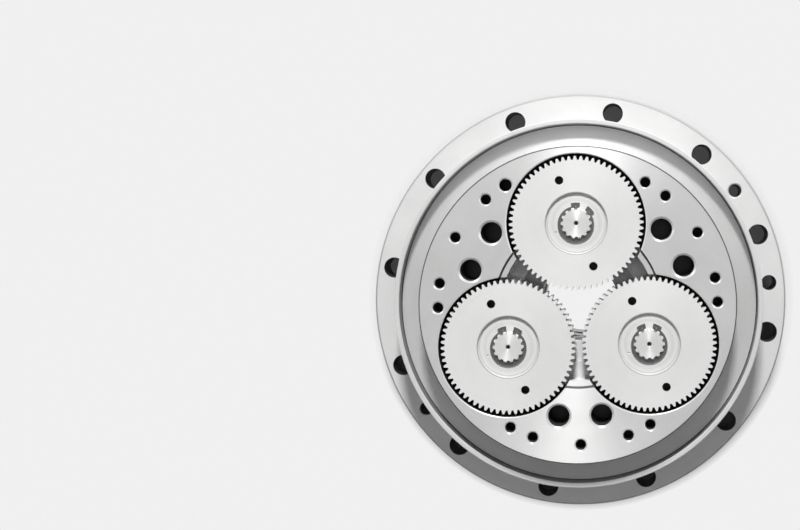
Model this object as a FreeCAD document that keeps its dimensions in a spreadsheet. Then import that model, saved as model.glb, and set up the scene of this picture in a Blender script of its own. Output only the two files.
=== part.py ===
import FreeCAD, Part
import Sketcher
import math
import os
import re

# A two stage cycloidal reducer. Three spur gears on splined crankshafts turn two lobed discs inside a ring
# of pins. The discs drive a carrier of two halves, which two large ball bearings hold in the case.
# The Z axis is the axis of the output, which points up, and the case stands on the plane Z = 0.
# Sizes are in millimetres, and angles are in degrees.

sizes = {
    # the case, from its motor side up
    "flange_bottom": 36,
    "flange_thickness": 22,
    "case_height": 90,
    "flange_r": 140,
    "spigot_r": 121,
    "case_chamfer": 1,
    "flange_hole_circle_r": 129,
    "flange_hole_r": 6.75,
    "flange_holes": 12,
    "flange_first_hole": 19,
    "jack_hole_r": 4.25,
    "jack_hole_rim": 1,
    "jack_hole_turn": 34,
    "dowel_hole_r": 5,
    "dowel_hole_turn": 4,
    # the ring of pins and the lobed discs between the two main bearings
    "pin_circle_r": 98,
    "pin_r": 4.5,
    "pins": 40,
    "pin_length": 33,
    "pin_zone_lip": 0.7,
    "groove_gap": 0.05,
    "mid_height": 37,
    "pin_zone_length": 36,
    "eccentricity": 1.8,
    "disc_thickness": 14.5,
    "disc_spacing": 2,
    "disc_bore_r": 27,
    "disc_gap": 0.2,
    "window_gap": 1,
    # the main bearings
    "bearing_bore_r": 105.5,
    "race_seat_r": 89,
    "main_bearing_width": 16,
    "ball_circle_r": 97.6,
    "ball_r": 5,
    "balls": 44,
    "ball_gap": 0.2,
    "high_shoulder": 2.4,
    "low_shoulder": 4.6,
    "main_cage_width": 4.4,
    "main_cage_back": 6.6,
    "main_cage_front": 2.6,
    # the oil seal and the case bore that holds it
    "seal_bore_r": 117.75,
    "seal_ledge": 0.5,
    "seal_height": 5.8,
    "seal_lip_gap": 0.2,
    # the output half of the carrier
    "output_height": 104,
    "output_face_r": 102.5,
    "face_chamfer": 0.6,
    "trough_depth": 9,
    "collar_r": 117.1,
    "collar_thickness": 3,
    "neck_r": 104,
    "race_rim_r": 93,
    "neck_lift": 1.5,
    "carrier_gap": 1.5,
    "shaft_bore_r": 26,
    "core_r": 39,
    "core_depth": 6,
    "pocket_depth": 18,
    "central_pocket_r": 49.4,
    "central_rim_r": 53.9,
    "central_rim_depth": 2,
    "gear_pocket_gap": 1.6,
    "pocket_chamfer": 0.6,
    "post_inner_r": 43,
    "post_outer_r": 84,
    "post_half_angle": 21,
    "post_corner_r": 5,
    "post_length": 24,
    "face_hole_circle_r": 90,
    "face_hole_r": 3.4,
    "face_hole_depth": 18,
    "face_hole_rim": 0.85,
    "face_dowel_r": 4,
    "clamp_circle_r": 72.5,
    "clamp_half_angle": 10.95,
    "clamp_thread_r": 6.95,
    "clamp_rim": 1.3,
    "clamp_floor_gap": 0.5,
    # the motor side half of the carrier, its clamp bolts and taper pins
    "hold_bottom": 1,
    "hold_chamfer": 0.6,
    "hold_rim_height": 2,
    "bolt_head_r": 12,
    "bolt_head_height": 16,
    "bolt_head_gap": 0.75,
    "bolt_hole_gap": 0.5,
    "bolt_shank_r": 8,
    "bolt_length": 62,
    "bolt_thread_r": 6.75,
    "bolt_sink": 0.5,
    "thread_gap": 0.05,
    "socket_flat_r": 7,
    "socket_depth": 8,
    "taper_pin_circle_r": 53,
    "taper_pin_r": 6.2,
    "taper_pin_slope": 0.01,
    "taper_pin_length": 43,
    "taper_pin_hole_r": 2.5,
    "taper_pin_hole_depth": 12,
    # the crankshafts and their tapered roller bearings
    "crank_circle_r": 52.5,
    "crank_bottom": 4,
    "crank_top": 103.5,
    "crank_seat_r": 12,
    "crank_collar_r": 14,
    "crank_neck_r": 11.5,
    "crank_passage_r": 14,
    "eccentric_r": 16,
    "crank_end_chamfer": 1,
    "centre_hole_r": 1.8,
    "centre_hole_depth": 5,
    "cup_r": 22.5,
    "cone_width": 14,
    "cup_width": 13,
    "cone_end_gap": 1,
    "roller_pitch_r": 17.5,
    "roller_length": 10,
    "rollers": 15,
    "roller_cone_angle": 12,
    "roller_half_angle": 2,
    "roller_gap": 0.15,
    "cage_thickness": 0.9,
    "cage_end": 1,
    "snap_ring_thickness": 1.5,
    "snap_ring_depth": 1.4,
    "snap_ring_width": 3.4,
    "snap_ring_shift": 0.6,
    "snap_ring_lug_turn": 12,
    # the needle bearings on the eccentrics
    "needle_r": 2,
    "needle_length": 12,
    "needles": 18,
    "needle_cage_thickness": 1.4,
    "needle_cage_length": 14,
    # the spur gears, their splines and circlips
    "gear_teeth": 68,
    "gear_module": 1.25,
    "gear_pressure_angle": 20,
    "gear_thickness": 14,
    "gear_drop": 1.5,
    "gear_tip_cut": 0.35,
    "gear_backlash": 0.12,
    "gear_hole_circle_r": 29.8,
    "gear_hole_r": 2.75,
    "gear_hole_depth": 10,
    "gear_hole_turn": 110.6,
    "hub_recess_r": 20,
    "hub_recess_wall": 1.2,
    "hub_recess_depth": 2,
    "hub_floor_r": 19.4,
    "timing_mark_r": 0.8,
    "timing_mark_circle_r": 14.5,
    "timing_mark_turn": 203,
    "spline_teeth": 14,
    "spline_tip_r": 10,
    "spline_root_r": 8.6,
    "spline_tip_width": 1.5,
    "spline_root_width": 2.7,
    "spline_gap": 0.05,
    "spline_chamfer": 0.7,
    "circlip_thickness": 1.2,
    "circlip_groove_depth": 0.6,
    "circlip_r": 11.75,
    "circlip_offset": 0.75,
    "circlip_lug_turn": 23.5,
    "circlip_lug_span": 27,
    "lug_size": 4,
    "lug_hole_r": 0.8,
}

# heights and radii that follow from the sizes above
flange_top = "(flange_bottom + flange_thickness)"
lower_shoulder = "(mid_height - pin_zone_length / 2)"
upper_shoulder = "(mid_height + pin_zone_length / 2)"
lower_race_bottom = f"({lower_shoulder} - main_bearing_width)"
upper_race_top = f"({upper_shoulder} + main_bearing_width)"
lower_balls = f"({lower_shoulder} - main_bearing_width / 2)"
upper_balls = f"({upper_shoulder} + main_bearing_width / 2)"
seal_bottom = f"({upper_race_top} + seal_ledge)"
lower_disc_top = "(mid_height - disc_spacing / 2)"
lower_disc_bottom = f"({lower_disc_top} - disc_thickness)"
upper_disc_bottom = "(mid_height + disc_spacing / 2)"
upper_disc_top = f"({upper_disc_bottom} + disc_thickness)"
trough_floor = "(case_height - trough_depth)"
collar_bottom = f"({trough_floor} - collar_thickness)"
output_inner_face = f"({upper_disc_top} + carrier_gap)"
hold_top = f"({lower_disc_bottom} - carrier_gap)"
post_bottom = f"({output_inner_face} - post_length)"
pocket_floor = "(output_height - pocket_depth)"
gear_top = "(output_height - gear_drop)"
gear_bottom = f"({gear_top} - gear_thickness)"
gear_tip_r = "(gear_module * (gear_teeth / 2 + 1) - gear_tip_cut)"
lower_cone_top = f"({lower_disc_bottom} - cone_end_gap)"
upper_cone_bottom = f"({upper_disc_top} + cone_end_gap)"
upper_cone_top = f"({upper_cone_bottom} + cone_width)"
lower_cone_middle = f"({lower_cone_top} - cone_width / 2)"
upper_cone_middle = f"({upper_cone_bottom} + cone_width / 2)"
needle_circle_r = "(eccentric_r + needle_r + roller_gap)"
disc_crank_bore_r = "(eccentric_r + 2 * needle_r + 2 * roller_gap)"
bolt_seat = "(hold_bottom + bolt_sink + bolt_head_height)"

document = FreeCAD.newDocument("reducer")
sheet = document.addObject("Spreadsheet::Sheet", "Sizes")
for row, (size_name, size) in enumerate(sizes.items(), 1):
    sheet.set(f"A{row}", size_name)
    sheet.set(f"B{row}", str(size))
    sheet.setAlias(f"B{row}", size_name)
document.recompute()

nodes = []


def tie(formula):
    """Turns the size names in a formula into references to their cells in the sheet."""

    def cell(word):
        return "Sizes." + word[0] if word[0] in sizes else word[0]

    return re.sub(r"[a-z][a-z_]*", cell, formula)


def number(formula):
    """The value that a formula has now."""
    return float(sheet.evalExpression(tie(formula)))


def bind(item, **formulas):
    """Ties properties of an object to formulas."""
    for name, formula in formulas.items():
        item.setExpression(name, tie(formula))
    return item


def place(item, x="0", y="0", z="0"):
    """Ties the position of an object to formulas."""
    for axis, formula in (("x", x), ("y", y), ("z", z)):
        item.setExpression(f"Placement.Base.{axis}", tie(formula))
    return item


def turn(item, angle):
    """Ties the turn of an object about its own Z axis to a formula in degrees."""
    item.Placement.Rotation = FreeCAD.Rotation(FreeCAD.Vector(0, 0, 1), number(angle))
    item.setExpression("Placement.Rotation.Angle", tie(angle))
    return item


def node(name, item):
    """Names a finished piece, or a group of like pieces, as one node of the assembly."""
    item.Label = name
    nodes.append(item)
    return item


def plane_of(body, role):
    """One of a body's own origin planes."""
    return next(part for part in body.Origin.OriginFeatures if part.Role == role)


def outline_sketch(body, corners):
    """A closed outline of (radius, height) corners in the plane through the body's axis."""
    sketch = body.newObject("Sketcher::SketchObject", body.Name + "_outline")
    sketch.AttachmentSupport = [(plane_of(body, "XZ_Plane"), "")]
    sketch.MapMode = "FlatFace"
    points = [FreeCAD.Vector(number(radius), number(height), 0) for radius, height in corners]
    for start, end in zip(points, points[1:] + points[:1]):
        sketch.addGeometry(Part.LineSegment(start, end))
    for index, (radius, height) in enumerate(corners):
        after = (index + 1) % len(corners)
        sketch.addConstraint(Sketcher.Constraint("Coincident", index, 2, after, 1))
        for kind, formula in (("DistanceX", radius), ("DistanceY", height)):
            rule = Sketcher.Constraint(kind, -1, 1, index, 1, number(formula))
            sketch.setExpression(f"Constraints[{sketch.addConstraint(rule)}]", tie(formula))
    return sketch


def turned(name, corners, x="0", y="0"):
    """A body turned from an outline about a vertical axis at x, y."""
    body = document.addObject("PartDesign::Body", name)
    sketch = outline_sketch(body, corners)
    revolution = body.newObject("PartDesign::Revolution", name + "_turned")
    revolution.Profile = sketch
    revolution.ReferenceAxis = (sketch, ["V_Axis"])
    revolution.Angle = 360
    return place(body, x, y)


def groove_round(body, radius, height, track_r):
    """Turns a ball track of round section into a body."""
    sketch = body.newObject("Sketcher::SketchObject", body.Name + "_track")
    sketch.AttachmentSupport = [(plane_of(body, "XZ_Plane"), "")]
    sketch.MapMode = "FlatFace"
    centre = FreeCAD.Vector(number(radius), number(height), 0)
    sketch.addGeometry(Part.Circle(centre, FreeCAD.Vector(0, 0, 1), number(track_r)))
    rules = (
        (Sketcher.Constraint("DistanceX", -1, 1, 0, 3, centre.x), radius),
        (Sketcher.Constraint("DistanceY", -1, 1, 0, 3, centre.y), height),
        (Sketcher.Constraint("Radius", 0, number(track_r)), track_r),
    )
    for rule, formula in rules:
        sketch.setExpression(f"Constraints[{sketch.addConstraint(rule)}]", tie(formula))
    groove = body.newObject("PartDesign::Groove", body.Name + "_groove")
    groove.Profile = sketch
    groove.ReferenceAxis = (sketch, ["V_Axis"])
    groove.Angle = 360
    return body


def hole_ring(body, name, circle_r, hole_r, first, count):
    """Cuts a ring of equal round holes through a body, the first at an angle from the X axis."""
    sketch = body.newObject("Sketcher::SketchObject", name + "_sketch")
    sketch.AttachmentSupport = [(plane_of(body, "XY_Plane"), "")]
    sketch.MapMode = "FlatFace"
    x, y = at(circle_r, first)
    centre = FreeCAD.Vector(number(x), number(y), 0)
    sketch.addGeometry(Part.Circle(centre, FreeCAD.Vector(0, 0, 1), number(hole_r)))
    rules = (
        (Sketcher.Constraint("DistanceX", -1, 1, 0, 3, centre.x), x),
        (Sketcher.Constraint("DistanceY", -1, 1, 0, 3, centre.y), y),
        (Sketcher.Constraint("Radius", 0, number(hole_r)), hole_r),
    )
    for rule, formula in rules:
        sketch.setExpression(f"Constraints[{sketch.addConstraint(rule)}]", tie(formula))
    pocket = body.newObject("PartDesign::Pocket", name)
    pocket.Profile = sketch
    pocket.Type = "ThroughAll"
    pocket.Reversed = True
    if count == "1":
        return
    pattern = body.newObject("PartDesign::PolarPattern", name + "_ring")
    pattern.Originals = [pocket]
    pattern.Axis = (sketch, ["N_Axis"])
    pattern.Angle = 360
    bind(pattern, Occurrences=count)
    body.Tip = pattern


def at(radius, angle):
    """The x and y formulas of a point at a radius and an angle about the Z axis."""
    return f"({radius}) * cos({angle})", f"({radius}) * sin({angle})"


def cylinder(name, radius, low, high, x="0", y="0"):
    """An upright cylinder between two heights."""
    item = document.addObject("Part::Cylinder", name)
    bind(item, Radius=radius, Height=f"({high}) - ({low})")
    return place(item, x, y, low)


def cone(name, low_r, high_r, low, high, x="0", y="0"):
    """An upright cone between two heights."""
    item = document.addObject("Part::Cone", name)
    bind(item, Radius1=low_r, Radius2=high_r, Height=f"({high}) - ({low})")
    return place(item, x, y, low)


def fuse(name, *items):
    """One solid of several."""
    joined = document.addObject("Part::MultiFuse", name)
    joined.Shapes = list(items)
    return joined


def cut(name, base, *tools):
    """A solid with others taken away from it."""
    remainder = document.addObject("Part::Cut", name)
    remainder.Base = base
    remainder.Tool = tools[0] if len(tools) == 1 else fuse(name + "_tools", *tools)
    return remainder


def common(name, first, second):
    """What two solids share."""
    shared = document.addObject("Part::Common", name)
    shared.Base = first
    shared.Tool = second
    return shared


def group(name, items):
    """Separate solids kept together."""
    together = document.addObject("Part::Compound", name)
    together.Links = items
    return together


def drilled(name, radius, low, high, rim, x, y):
    """Two tools for a hole that opens upward: its wall and the chamfer round its mouth."""
    wall = cylinder(name, radius, low, high, x, y)
    mouth = cone(name + "_mouth", radius, f"{radius} + {rim}", f"{high} - {rim}", high, x, y)
    return [wall, mouth]


def ring(name, inner_r, outer_r, low, high, x="0", y="0"):
    """A plain upright ring."""
    hole = cylinder(name + "_hole", inner_r, low, high, x, y)
    return cut(name, cylinder(name + "_disc", outer_r, low, high, x, y), hole)


def sector(name, angle, low, high, grown="0"):
    """An upright block with a post's outline, or with one that stands off it all round by grown."""
    inner_r = f"post_inner_r - ({grown})"
    outer_r = f"post_outer_r + {grown}"
    corner_r = f"post_corner_r + {grown}"
    wedge = document.addObject("Part::Cylinder", name + "_wedge")
    bind(wedge, Radius="2 * post_outer_r", Height=f"({high}) - ({low})", Angle="2 * post_half_angle")
    turn(wedge, f"{angle} - post_half_angle")
    back = f"-({grown}) / sin(post_half_angle)"
    x, y = at(back, angle)
    place(wedge, x, y, low)
    block = common(name + "_block", ring(name + "_ring", inner_r, outer_r, low, high), wedge)
    document.recompute()
    upright = [
        (index, number(corner_r), number(corner_r))
        for index, edge in enumerate(block.Shape.Edges, 1)
        if abs(edge.Vertexes[0].Z - edge.Vertexes[-1].Z) > 1
    ]
    rounded = document.addObject("Part::Fillet", name)
    rounded.Base = block
    rounded.Edges = upright
    return rounded


def extruded(name, outline, height, x="0", y="0", z="0"):
    """A closed outline raised along Z."""
    item = document.addObject("Part::Extrusion", name)
    item.Base = outline
    item.DirMode = "Custom"
    item.Dir = (0, 0, 1)
    item.Solid = True
    bind(item, LengthFwd=height)
    return place(item, x, y, z)


def polar(radius, angle):
    """A point in the plane Z = 0, from numbers."""
    return FreeCAD.Vector(radius * math.cos(math.radians(angle)), radius * math.sin(math.radians(angle)), 0)


def toothed_outline(name, teeth, flank):
    """Equal teeth round a circle. The flank is (radius, half of the tooth's angle) from root to tip."""
    edges = []
    root_r, root_half = flank[0]
    tip_r, tip_half = flank[-1]
    pitch = 360 / teeth
    for tooth in range(teeth):
        middle = tooth * pitch
        up = [polar(radius, middle - half) for radius, half in flank]
        down = [polar(radius, middle + half) for radius, half in reversed(flank)]
        for side in (up, down):
            curve = Part.Arc(*side) if len(side) == 3 else Part.LineSegment(*side)
            edges.append(curve.toShape())
        edges.append(Part.Arc(up[-1], polar(tip_r, middle), down[0]).toShape())
        next_root = polar(root_r, middle + pitch - root_half)
        edges.append(Part.Arc(down[-1], polar(root_r, middle + pitch / 2), next_root).toShape())
    outline = document.addObject("Part::Feature", name)
    outline.Shape = Part.Wire(Part.__sortEdges__(edges))
    return outline


crank_angles = ("90", "210", "330")
post_angles = ("30", "150", "270")
crank_places = [at("crank_circle_r", angle) for angle in crank_angles]


# The case is one turned ring with a flange at its middle and a spigot above and below it. Its bore steps
# from the seat of each main bearing to the pin zone, and at the output end to the bore of the oil seal.
pin_zone_r = "(pin_circle_r + pin_zone_lip)"
case = turned(
    "case_body",
    [
        ("bearing_bore_r + case_chamfer", "0"),
        ("spigot_r - case_chamfer", "0"),
        ("spigot_r", "case_chamfer"),
        ("spigot_r", "flange_bottom"),
        ("flange_r - case_chamfer", "flange_bottom"),
        ("flange_r", "flange_bottom + case_chamfer"),
        ("flange_r", f"{flange_top} - case_chamfer"),
        ("flange_r - case_chamfer", flange_top),
        ("spigot_r", flange_top),
        ("spigot_r", "case_height - case_chamfer / 2"),
        ("spigot_r - case_chamfer / 2", "case_height"),
        ("seal_bore_r + case_chamfer / 2", "case_height"),
        ("seal_bore_r", "case_height - case_chamfer / 2"),
        ("seal_bore_r", seal_bottom),
        ("bearing_bore_r", seal_bottom),
        ("bearing_bore_r", upper_shoulder),
        (pin_zone_r, upper_shoulder),
        (pin_zone_r, lower_shoulder),
        ("bearing_bore_r", lower_shoulder),
        ("bearing_bore_r", "case_chamfer"),
    ],
)
hole_ring(case, "flange_hole", "flange_hole_circle_r", "flange_hole_r", "flange_first_hole", "flange_holes")
hole_ring(case, "dowel_hole", "flange_hole_circle_r", "dowel_hole_r", "dowel_hole_turn", "1")
hole_ring(case, "pin_groove", "pin_circle_r", "pin_r + groove_gap", "0", "pins")
jack_tools = []
for index, angle in enumerate(("jack_hole_turn", "jack_hole_turn + 180"), 1):
    x, y = at("flange_hole_circle_r", angle)
    low, high = "flange_bottom", flange_top
    jack_tools += drilled(f"jack_hole_{index}", "jack_hole_r", low, high, "jack_hole_rim", x, y)
node("case", cut("case_drilled", case, *jack_tools))

# Forty hardened pins lie loose in the half round grooves of the case, between the two main bearings.
ring_pins = []
for index in range(int(number("pins"))):
    x, y = at("pin_circle_r", f"{index} * 360 / pins")
    low = "mid_height - pin_length / 2"
    ring_pins.append(cylinder(f"ring_pin_{index}", "pin_r", low, "mid_height + pin_length / 2", x, y))
node("ring_pins", group("ring_pin_group", ring_pins))


def main_bearing(name, low, middle, outward):
    """An angular contact bearing. Its open side faces outward, which is -1 for down and 1 for up."""
    bottom = low
    top = f"({low} + main_bearing_width)"
    outer_end, inner_end = (top, bottom) if outward > 0 else (bottom, top)
    high_r = "(ball_circle_r - high_shoulder)"
    low_r = "(ball_circle_r - low_shoulder)"
    inner = turned(
        f"main_{name}_inner",
        [
            ("race_seat_r", outer_end),
            (high_r, outer_end),
            (high_r, middle),
            (low_r, middle),
            (low_r, inner_end),
            ("race_seat_r", inner_end),
        ],
    )
    outer = turned(
        f"main_{name}_outer",
        [
            ("bearing_bore_r", outer_end),
            ("ball_circle_r + low_shoulder", outer_end),
            ("ball_circle_r + low_shoulder", middle),
            ("ball_circle_r + high_shoulder", middle),
            ("ball_circle_r + high_shoulder", inner_end),
            ("bearing_bore_r", inner_end),
        ],
    )
    for race in (inner, outer):
        groove_round(race, "ball_circle_r", middle, "ball_r + ball_gap")
    node(f"main_bearing_{name}_inner_ring", inner)
    node(f"main_bearing_{name}_outer_ring", outer)
    balls = []
    pockets = []
    for index in range(int(number("balls"))):
        x, y = at("ball_circle_r", f"{index} * 360 / balls")
        ball = document.addObject("Part::Sphere", f"main_{name}_ball_{index}")
        balls.append(place(bind(ball, Radius="ball_r"), x, y, middle))
        pocket = document.addObject("Part::Sphere", f"main_{name}_pocket_{index}")
        pockets.append(place(bind(pocket, Radius="ball_r + ball_gap"), x, y, middle))
    node(f"main_bearing_{name}_balls", group(f"main_{name}_balls", balls))
    sides = ("main_cage_back", "main_cage_front")
    low_side, high_side = sides if outward > 0 else sides[::-1]
    cage = ring(
        f"main_{name}_cage_blank",
        "ball_circle_r - main_cage_width / 2",
        "ball_circle_r + main_cage_width / 2",
        f"{middle} - {low_side}",
        f"{middle} + {high_side}",
    )
    all_pockets = group(f"main_{name}_pockets", pockets)
    node(f"main_bearing_{name}_cage", cut(f"main_{name}_cage", cage, all_pockets))


# The main bearings stand back to back, so each one's open side shows at its own end of the reducer.
main_bearing("lower", lower_race_bottom, lower_balls, -1)
main_bearing("upper", upper_shoulder, upper_balls, 1)

# The oil seal is pressed into the case above the upper bearing, and its lip runs on the output's neck.
seal_top = f"({seal_bottom} + seal_height)"
lip_r = "(neck_r + seal_lip_gap)"
seal = turned(
    "seal_body",
    [
        ("seal_bore_r", seal_bottom),
        ("seal_bore_r", seal_top),
        (f"{lip_r} + 4", seal_top),
        (f"{lip_r} + 1", f"{seal_top} - 1"),
        (lip_r, f"{seal_bottom} + seal_height / 2"),
        (f"{lip_r} + 2", f"{seal_bottom} + 1"),
        (f"{lip_r} + 5", f"{seal_bottom} + seal_height / 2"),
        ("seal_bore_r - 2", f"{seal_bottom} + seal_height / 2"),
        ("seal_bore_r - 2", seal_bottom),
    ],
)
node("oil_seal", seal)

# The output shaft carries the gear pockets, the output face with its tapped holes, the seat of the upper
# inner race and three posts that reach through the discs.
output_body = turned(
    "output_body",
    [
        ("shaft_bore_r", output_inner_face),
        ("race_seat_r", output_inner_face),
        ("race_seat_r", upper_race_top),
        ("race_rim_r", upper_race_top),
        ("race_rim_r", f"{upper_race_top} + neck_lift"),
        ("neck_r", f"{upper_race_top} + neck_lift"),
        ("neck_r", collar_bottom),
        ("collar_r", collar_bottom),
        ("collar_r", trough_floor),
        ("output_face_r", trough_floor),
        ("output_face_r", "output_height - face_chamfer"),
        ("output_face_r - face_chamfer", "output_height"),
        ("central_rim_r", "output_height"),
        ("central_rim_r", "output_height - central_rim_depth"),
        ("central_pocket_r", "output_height - central_rim_depth"),
        ("central_pocket_r", pocket_floor),
        ("core_r", pocket_floor),
        ("core_r", f"{pocket_floor} - core_depth"),
        ("shaft_bore_r", f"{pocket_floor} - core_depth"),
    ],
)
posts = [
    sector(f"post_{index}", angle, post_bottom, output_inner_face)
    for index, angle in enumerate(post_angles, 1)
]
gear_pocket_r = f"({gear_tip_r} + gear_pocket_gap)"
output_tools = []
for index, (x, y) in enumerate(crank_places, 1):
    low, high = pocket_floor, "output_height"
    output_tools += drilled(f"gear_pocket_{index}", gear_pocket_r, low, high, "pocket_chamfer", x, y)
    low, high = output_inner_face, upper_cone_top
    output_tools.append(cylinder(f"upper_cup_seat_{index}", "cup_r", low, high, x, y))
    output_tools.append(cylinder(f"crank_passage_{index}", "crank_passage_r", low, pocket_floor, x, y))
for index, angle in enumerate(post_angles, 1):
    for side in ("-", "+"):
        x, y = at("clamp_circle_r", f"{angle} {side} clamp_half_angle")
        name = f"clamp_thread_{index}_{'a' if side == '-' else 'b'}"
        floor = f"({bolt_seat} + bolt_length + clamp_floor_gap)"
        output_tools += drilled(name, "clamp_thread_r", floor, "output_height", "clamp_rim", x, y)
        output_tools.append(cylinder(name + "_lower", "bolt_thread_r", post_bottom, f"{floor} + 1", x, y))
    for step, offset in enumerate((-30, -20, 0, 20, 30)):
        is_dowel = angle == "150" and offset == -30
        x, y = at("face_hole_circle_r", f"{angle} + {offset}")
        radius = "face_dowel_r" if is_dowel else "face_hole_r"
        low, high = "output_height - face_hole_depth", "output_height"
        output_tools += drilled(f"face_hole_{index}_{step}", radius, low, high, "face_hole_rim", x, y)


def taper_pin_shape(name, index, angle):
    """A slim cone on a post's centre line, for a taper pin or for the hole that it is driven into."""
    x, y = at("taper_pin_circle_r", angle)
    top = "hold_bottom + 1 + taper_pin_length"
    top_r = "taper_pin_r - taper_pin_slope * taper_pin_length"
    return cone(f"{name}_{index}", "taper_pin_r", top_r, "hold_bottom + 1", top, x, y)


for index, angle in enumerate(post_angles, 1):
    output_tools.append(taper_pin_shape("output_reamed", index, angle))
node("output_shaft", cut("output_drilled", fuse("output_blank", output_body, *posts), *output_tools))

# The hold flange closes the carrier on the motor side. It has the seat of the lower inner race, the bores
# of the lower crank bearings, and a short boss under each post.
hold_body = turned(
    "hold_body",
    [
        ("shaft_bore_r + hold_chamfer", "hold_bottom"),
        ("race_rim_r - hold_chamfer", "hold_bottom"),
        ("race_rim_r", "hold_bottom + hold_chamfer"),
        ("race_rim_r", f"{lower_race_bottom}"),
        ("race_seat_r", f"{lower_race_bottom}"),
        ("race_seat_r", hold_top),
        ("shaft_bore_r", hold_top),
        ("shaft_bore_r", "hold_bottom + hold_chamfer"),
    ],
)
bosses = [
    sector(f"boss_{index}", angle, hold_top, post_bottom)
    for index, angle in enumerate(post_angles, 1)
]
lower_cup_bottom = f"({lower_cone_top} - cup_width - 1)"
snap_ring_bottom = f"({lower_cup_bottom} - snap_ring_thickness)"
hold_tools = []
for index, (x, y) in enumerate(crank_places, 1):
    low, high = snap_ring_bottom, lower_cup_bottom
    hold_tools.append(cylinder(f"lower_cup_seat_{index}", "cup_r", "hold_bottom", hold_top, x, y))
    hold_tools.append(cylinder(f"snap_ring_groove_{index}", "cup_r + snap_ring_depth", low, high, x, y))
    mouth_r, low, high = "cup_r + hold_chamfer", "hold_bottom", "hold_bottom + hold_chamfer"
    hold_tools.append(cone(f"bore_mouth_{index}", mouth_r, "cup_r", low, high, x, y))
clamp_places = [
    at("clamp_circle_r", f"{angle} {side} clamp_half_angle") for angle in post_angles for side in ("-", "+")
]
for index, (x, y) in enumerate(clamp_places, 1):
    head_room, shank_room = "bolt_head_r + bolt_head_gap", "bolt_shank_r + bolt_hole_gap"
    hold_tools.append(cylinder(f"counterbore_{index}", head_room, "hold_bottom", bolt_seat, x, y))
    hold_tools.append(cylinder(f"bolt_hole_{index}", shank_room, "hold_bottom", post_bottom, x, y))
for index, angle in enumerate(post_angles, 1):
    x, y = at("taper_pin_circle_r", angle)
    hold_tools.append(taper_pin_shape("hold_reamed", index, angle))
    hold_tools.append(cylinder(f"pin_mouth_{index}", "taper_pin_r", "hold_bottom", "hold_bottom + 1", x, y))
node("hold_flange", cut("hold_drilled", fuse("hold_blank", hold_body, *bosses), *hold_tools))

# Six socket head bolts pull the two halves together.
bolts = []
for index, (x, y) in enumerate(clamp_places, 1):
    bottom = "hold_bottom + bolt_sink"
    blank = turned(
        f"bolt_blank_{index}",
        [
            ("0", bottom),
            ("bolt_head_r - 1", bottom),
            ("bolt_head_r", f"{bottom} + 1"),
            ("bolt_head_r", bolt_seat),
            ("bolt_shank_r", bolt_seat),
            ("bolt_shank_r", post_bottom),
            ("bolt_thread_r - thread_gap", post_bottom),
            ("bolt_thread_r - thread_gap", f"{bolt_seat} + bolt_length"),
            ("0", f"{bolt_seat} + bolt_length"),
        ],
        x,
        y,
    )
    socket = document.addObject("Part::Prism", f"bolt_socket_{index}")
    socket.Polygon = 6
    bind(socket, Circumradius="socket_flat_r / cos(30)", Height="socket_depth")
    bolts.append(cut(f"bolt_{index}", blank, place(socket, x, y, bottom)))
node("clamp_bolts", group("bolt_group", bolts))

# Three taper pins fix the two halves to each other. Each has a tapped hole to pull it out by.
taper_pins = []
for index, angle in enumerate(post_angles, 1):
    x, y = at("taper_pin_circle_r", angle)
    low = "hold_bottom + 1"
    hole_r = "taper_pin_hole_r"
    hole = cylinder(f"pin_pull_hole_{index}", hole_r, low, f"{low} + taper_pin_hole_depth", x, y)
    mouth = cone(f"pin_pull_mouth_{index}", f"{hole_r} + 1", hole_r, low, f"{low} + 1", x, y)
    taper_pins.append(cut(f"taper_pin_{index}", taper_pin_shape("pin_blank", index, angle), hole, mouth))
node("taper_pins", group("taper_pin_group", taper_pins))


def lobe_curves(turned_round):
    """The lobes of a disc: each runs in step with the pins as the disc circles by the eccentricity."""
    circle_r, pin_r, offset = number("pin_circle_r"), number("pin_r + disc_gap"), number("eccentricity")
    count = int(number("pins"))
    steps = 12
    points = []
    for step in range(steps + 1):
        t = 2 * math.pi / (count - 1) * step / steps
        phase = (1 - count) * t
        lean = math.atan2(math.sin(phase), circle_r / (offset * count) - math.cos(phase))
        x = circle_r * math.cos(t) - pin_r * math.cos(t + lean) - offset * math.cos(count * t)
        y = circle_r * math.sin(t) - pin_r * math.sin(t + lean) - offset * math.sin(count * t)
        points.append(FreeCAD.Vector(x, y, 0))
    start, end = points[0], points[-1]
    curve = Part.BSplineCurve()
    curve.interpolate(
        Points=points,
        InitialTangent=FreeCAD.Vector(-start.y, start.x, 0),
        FinalTangent=FreeCAD.Vector(-end.y, end.x, 0),
    )
    lobe = curve.toShape()
    edges = []
    for index in range(count - 1):
        edge = lobe.copy()
        edge.rotate(FreeCAD.Vector(), FreeCAD.Vector(0, 0, 1), turned_round + index * 360 / (count - 1))
        edges.append(edge)
    return edges


def cycloid_disc(name, side, low, high):
    """A lobed disc whose centre stands off the main axis by the eccentricity, to one side along X."""
    outline = document.addObject("Part::Feature", name + "_outline")
    outline.Shape = Part.Wire(Part.__sortEdges__(lobe_curves(0 if side == "" else 180)))
    centre = f"{side}eccentricity"
    blank = extruded(name + "_blank", outline, "disc_thickness", centre, "0", low)
    tools = [cylinder(name + "_bore", "disc_bore_r", low, high, centre)]
    for index, (x, y) in enumerate(crank_places, 1):
        bore_x = f"{centre} + {x}"
        tools.append(cylinder(f"{name}_crank_bore_{index}", disc_crank_bore_r, low, high, bore_x, y))
    for index, angle in enumerate(post_angles, 1):
        window = sector(f"{name}_window_{index}", angle, low, high, "(eccentricity + window_gap)")
        tools.append(place(window, centre))
    return node(name, cut(name + "_cut", blank, *tools))


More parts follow.
